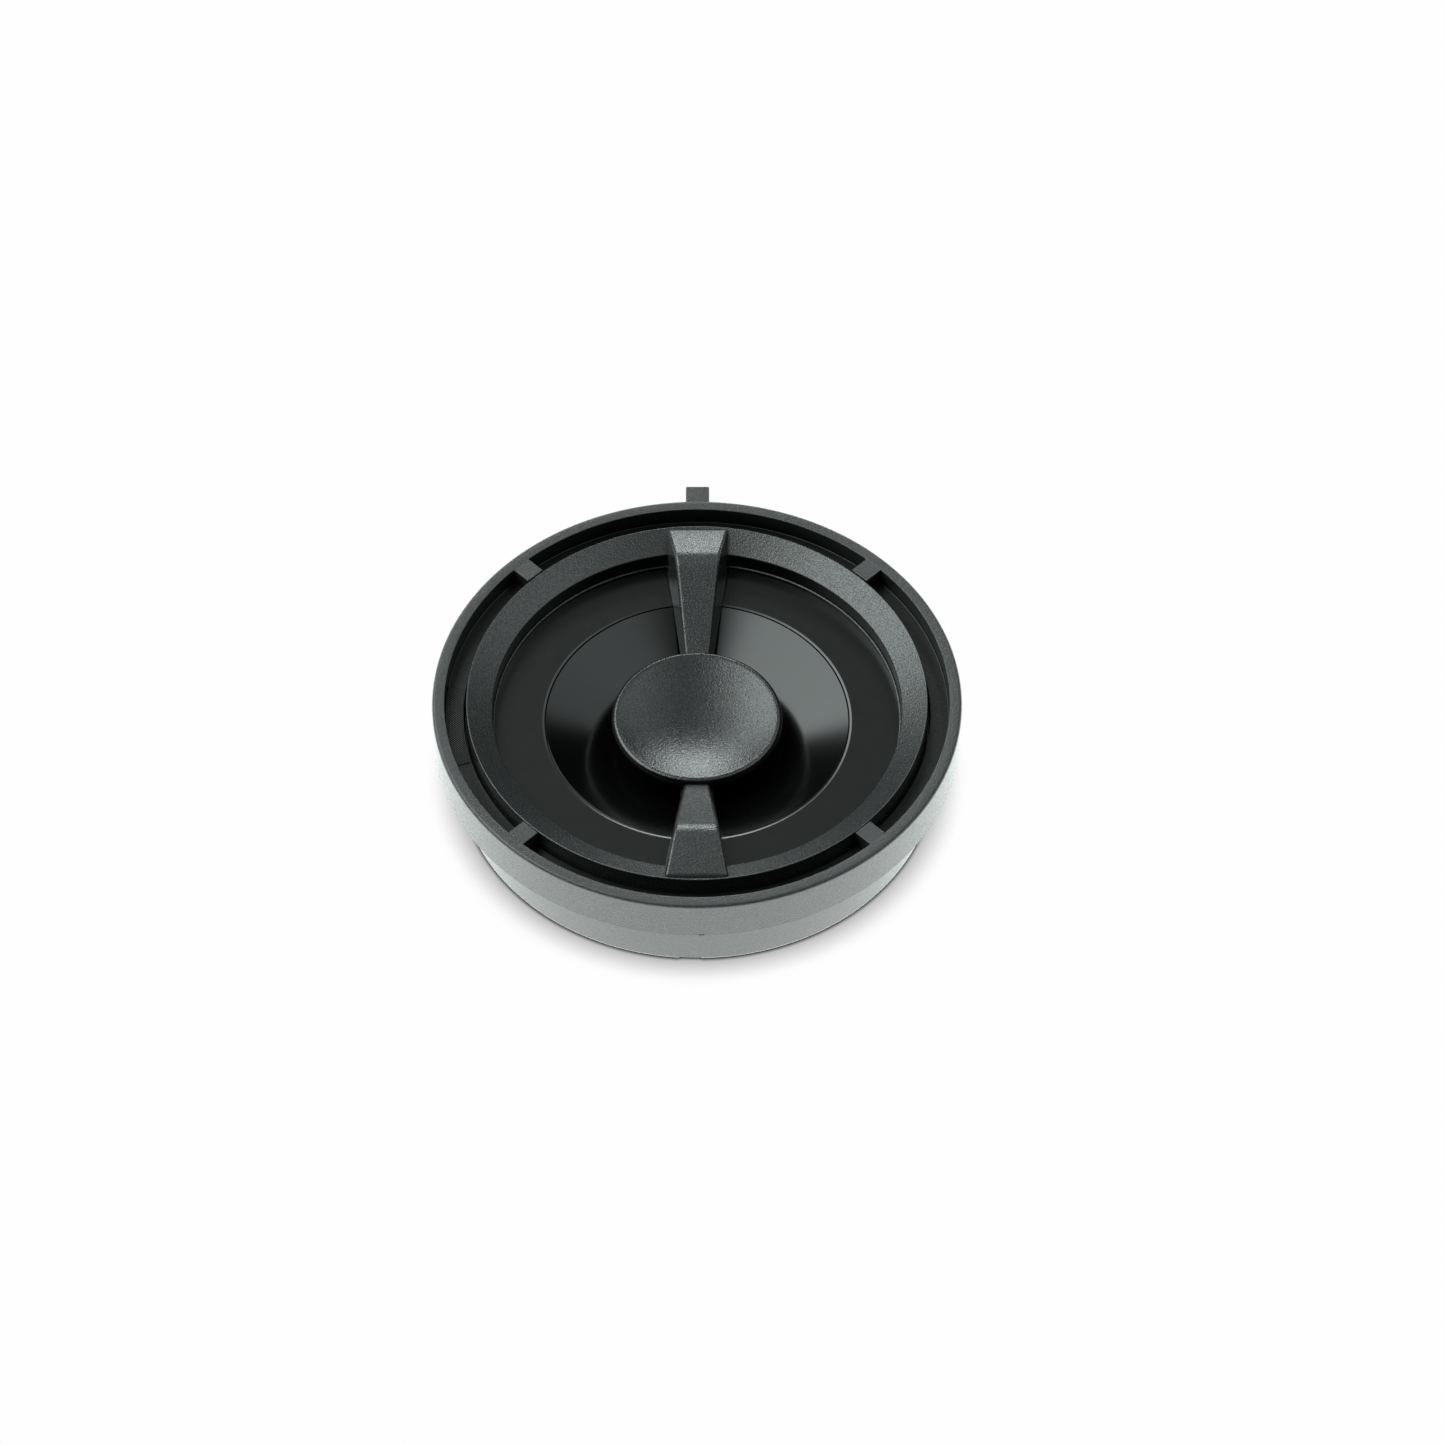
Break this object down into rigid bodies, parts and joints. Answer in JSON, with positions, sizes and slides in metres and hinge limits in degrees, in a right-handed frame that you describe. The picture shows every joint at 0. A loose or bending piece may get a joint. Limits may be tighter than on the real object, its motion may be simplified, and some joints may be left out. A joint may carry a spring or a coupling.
{
  "type": "car tweeter",
  "caption": "Flush-fit car tweeter: adapter ring with a locating tab, slotted rim, front ring with two arms and a dished centre cap over a gloss black inverted-dome diaphragm.",
  "frame": {"origin": "on the tweeter's axis at the foot of the barrel", "axes": "+Z along the axis out of the grille, +Y towards the locating tab, +X to the right seen from the front with the tab on top"},
  "size_m": [0.052, 0.0541, 0.0127],
  "materials": {
    "rim_plastic": "fine spark-eroded grain, satin black",
    "ring_plastic": "fine spark-eroded grain, satin charcoal",
    "cap_plastic": "fine spark-eroded grain, satin charcoal",
    "housing_plastic": "fine grain, satin dark grey",
    "chassis_plastic": "glass-filled nylon, matte",
    "washer_black": "satin black lacquer",
    "dish_black": "high-gloss black coating",
    "surround_rubber": "matte",
    "gasket_foam": "closed-cell foam",
    "felt": "pressed wool felt",
    "mesh_pad": "fine woven, black",
    "frame_plastic": "moulded, matte",
    "former_aluminium": "drawn foil",
    "winding_copper": "enamelled copper wire",
    "steel_plated": "zinc plated",
    "magnet_nickel": "nickel plated neodymium",
    "board_phenolic": "phenolic paper board",
    "terminal_tin": "tin plated brass",
    "solder": "solder, slightly dull",
    "screw_steel": "black oxide",
    "lead_copper": "braided tinsel wire"
  },
  "bodies": {
    "housing": {"adapter_rim": "rim_plastic", "slot_mesh_pad": "mesh_pad", "rear_housing": "housing_plastic", "front_ring": "ring_plastic", "center_cap": "cap_plastic", "trim_washer": "washer_black", "gasket_ring": "gasket_foam", "surround": "surround_rubber", "surround_frame": "frame_plastic", "tinsel_lead_positive": "lead_copper", "tinsel_lead_negative": "lead_copper", "damping_felt": "felt", "pole_plate": "steel_plated", "magnet": "magnet_nickel", "yoke_cup": "steel_plated", "chassis": "chassis_plastic", "terminal_board": "board_phenolic", "terminal_positive": "terminal_tin", "terminal_negative": "terminal_tin", "terminal_rivets": "terminal_tin", "solder_joints": "solder", "chassis_screws": "screw_steel"},
    "diaphragm_assembly": {"diaphragm": "dish_black", "voice_coil_former": "former_aluminium", "voice_coil_winding": "winding_copper"}
  },
  "joints": [
    {"name": "diaphragm_travel", "type": "slide", "parent": "housing", "child": "diaphragm_assembly", "axis": [0, 0, 1], "range_m": [-0.0003, 0.0003], "stiffness_N_per_m": 100, "deforming": ["surround", "tinsel_lead_positive", "tinsel_lead_negative"]}
  ]
}
